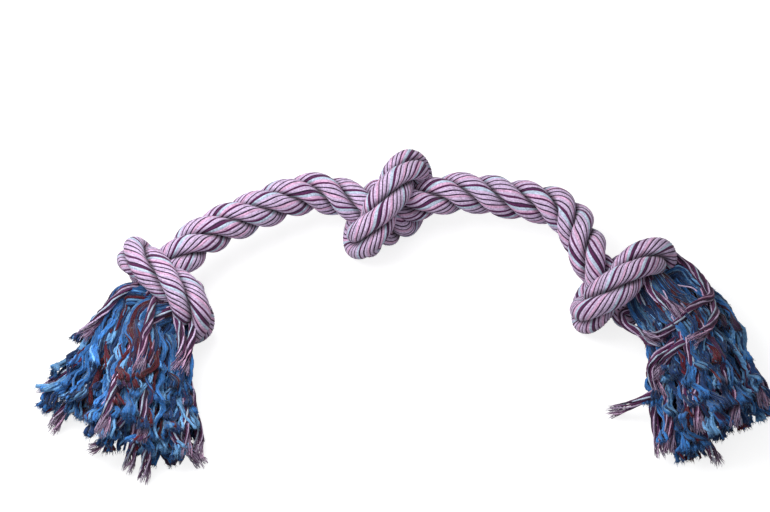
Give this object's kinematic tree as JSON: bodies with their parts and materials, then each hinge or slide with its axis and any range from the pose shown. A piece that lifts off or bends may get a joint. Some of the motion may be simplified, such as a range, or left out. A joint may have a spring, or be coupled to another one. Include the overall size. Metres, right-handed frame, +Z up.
{
  "type": "rope dog toy",
  "caption": "Knotted cotton rope tug toy for dogs: thick three-strand laid rope, an overhand knot at the middle and at each end, both ends unlaid into frayed tassels.",
  "frame": {"origin": "middle of the toy's box in plan, on the surface that it lies on", "axes": "+X along the toy's longest reach, from the left tassel to the right one; +Y from the tassels towards the middle knot; +Z up"},
  "size_m": [0.4617, 0.2103, 0.0545],
  "materials": {
    "cover_yarn": "twisted cotton cover yarns in lilac, pink, pale blue and dark plum",
    "core_yarn": "fluffy blue cotton core yarns with maroon yarns among them"
  },
  "bodies": {
    "left_knot": {"left_knot_strand_a": "cover_yarn", "left_knot_strand_b": "cover_yarn", "left_knot_strand_c": "cover_yarn"},
    "left_span_outer": {"left_span_outer_strand_a": "cover_yarn", "left_span_outer_strand_b": "cover_yarn", "left_span_outer_strand_c": "cover_yarn"},
    "left_span_middle": {"left_span_middle_strand_a": "cover_yarn", "left_span_middle_strand_b": "cover_yarn", "left_span_middle_strand_c": "cover_yarn"},
    "left_span_inner": {"left_span_inner_strand_a": "cover_yarn", "left_span_inner_strand_b": "cover_yarn", "left_span_inner_strand_c": "cover_yarn"},
    "middle_knot": {"middle_knot_strand_a": "cover_yarn", "middle_knot_strand_b": "cover_yarn", "middle_knot_strand_c": "cover_yarn"},
    "right_span_inner": {"right_span_inner_strand_a": "cover_yarn", "right_span_inner_strand_b": "cover_yarn", "right_span_inner_strand_c": "cover_yarn"},
    "right_span_middle": {"right_span_middle_strand_a": "cover_yarn", "right_span_middle_strand_b": "cover_yarn", "right_span_middle_strand_c": "cover_yarn"},
    "right_span_outer": {"right_span_outer_strand_a": "cover_yarn", "right_span_outer_strand_b": "cover_yarn", "right_span_outer_strand_c": "cover_yarn"},
    "right_knot": {"right_knot_strand_a": "cover_yarn", "right_knot_strand_b": "cover_yarn", "right_knot_strand_c": "cover_yarn"},
    "left_tassel_a": {"left_tassel_a_core": "core_yarn", "left_tassel_a_cover_1": "cover_yarn", "left_tassel_a_cover_2": "cover_yarn"},
    "left_tassel_b": {"left_tassel_b_core": "core_yarn", "left_tassel_b_cover_1": "cover_yarn", "left_tassel_b_cover_2": "cover_yarn"},
    "left_tassel_c": {"left_tassel_c_core": "core_yarn", "left_tassel_c_cover_1": "cover_yarn", "left_tassel_c_cover_2": "cover_yarn"},
    "right_tassel_a": {"right_tassel_a_core": "core_yarn", "right_tassel_a_cover_1": "cover_yarn", "right_tassel_a_cover_2": "cover_yarn"},
    "right_tassel_b": {"right_tassel_b_core": "core_yarn", "right_tassel_b_cover_1": "cover_yarn", "right_tassel_b_cover_2": "cover_yarn"},
    "right_tassel_c": {"right_tassel_c_core": "core_yarn", "right_tassel_c_cover_1": "cover_yarn", "right_tassel_c_cover_2": "cover_yarn"}
  },
  "joints": [
    {"name": "left_span_inner_sway", "type": "hinge", "parent": "middle_knot", "child": "left_span_inner", "pos_m": [-0.04683, 0.07966, 0.02857], "axis": [0, 0, 1], "range_deg": [-30, 30]},
    {"name": "left_span_middle_lift", "type": "hinge", "parent": "left_span_inner", "child": "left_span_middle", "pos_m": [-0.07137, 0.07968, 0.0307], "axis": [-0.3141, 0.9494, 0], "range_deg": [-30, 30]},
    {"name": "left_span_outer_lift", "type": "hinge", "parent": "left_span_middle", "child": "left_span_outer", "pos_m": [-0.12094, 0.05248, 0.03328], "axis": [-0.5721, 0.8202, 0], "range_deg": [-30, 30]},
    {"name": "left_knot_sway", "type": "hinge", "parent": "left_span_outer", "child": "left_knot", "pos_m": [-0.13994, 0.0362, 0.03375], "axis": [0, 0, 1], "range_deg": [-30, 30]},
    {"name": "left_tassel_a_splay", "type": "hinge", "parent": "left_knot", "child": "left_tassel_a", "pos_m": [-0.1559, -0.01779, 0.02177], "axis": [0, 0, 1], "range_deg": [0, 25]},
    {"name": "left_tassel_b_lift", "type": "hinge", "parent": "left_knot", "child": "left_tassel_b", "pos_m": [-0.16175, -0.01786, 0.03054], "axis": [-0.9885, 0.1509, 0], "range_deg": [0, 40]},
    {"name": "left_tassel_c_splay", "type": "hinge", "parent": "left_knot", "child": "left_tassel_c", "pos_m": [-0.16545, -0.01333, 0.02177], "axis": [0, 0, -1], "range_deg": [0, 25]},
    {"name": "right_span_inner_sway", "type": "hinge", "parent": "middle_knot", "child": "right_span_inner", "pos_m": [0.01882, 0.08025, 0.02913], "axis": [0, 0, 1], "range_deg": [-30, 30]},
    {"name": "right_span_middle_lift", "type": "hinge", "parent": "right_span_inner", "child": "right_span_middle", "pos_m": [0.04787, 0.08001, 0.03064], "axis": [-0.1761, -0.9844, 0], "range_deg": [-30, 30]},
    {"name": "right_span_outer_lift", "type": "hinge", "parent": "right_span_middle", "child": "right_span_outer", "pos_m": [0.10283, 0.05808, 0.03334], "axis": [-0.8671, -0.4981, 0], "range_deg": [-30, 30]},
    {"name": "right_knot_sway", "type": "hinge", "parent": "right_span_outer", "child": "right_knot", "pos_m": [0.11268, 0.03051, 0.03389], "axis": [0, 0, 1], "range_deg": [-30, 30]},
    {"name": "right_tassel_a_splay", "type": "hinge", "parent": "right_knot", "child": "right_tassel_a", "pos_m": [0.15077, -0.0016, 0.022], "axis": [0, 0, -1], "range_deg": [0, 25]},
    {"name": "right_tassel_b_lift", "type": "hinge", "parent": "right_knot", "child": "right_tassel_b", "pos_m": [0.15581, 0.00033, 0.03106], "axis": [-0.9605, -0.2782, 0], "range_deg": [0, 40]},
    {"name": "right_tassel_c_splay", "type": "hinge", "parent": "right_knot", "child": "right_tassel_c", "pos_m": [0.15958, 0.00419, 0.022], "axis": [0, 0, 1], "range_deg": [0, 25]}
  ]
}
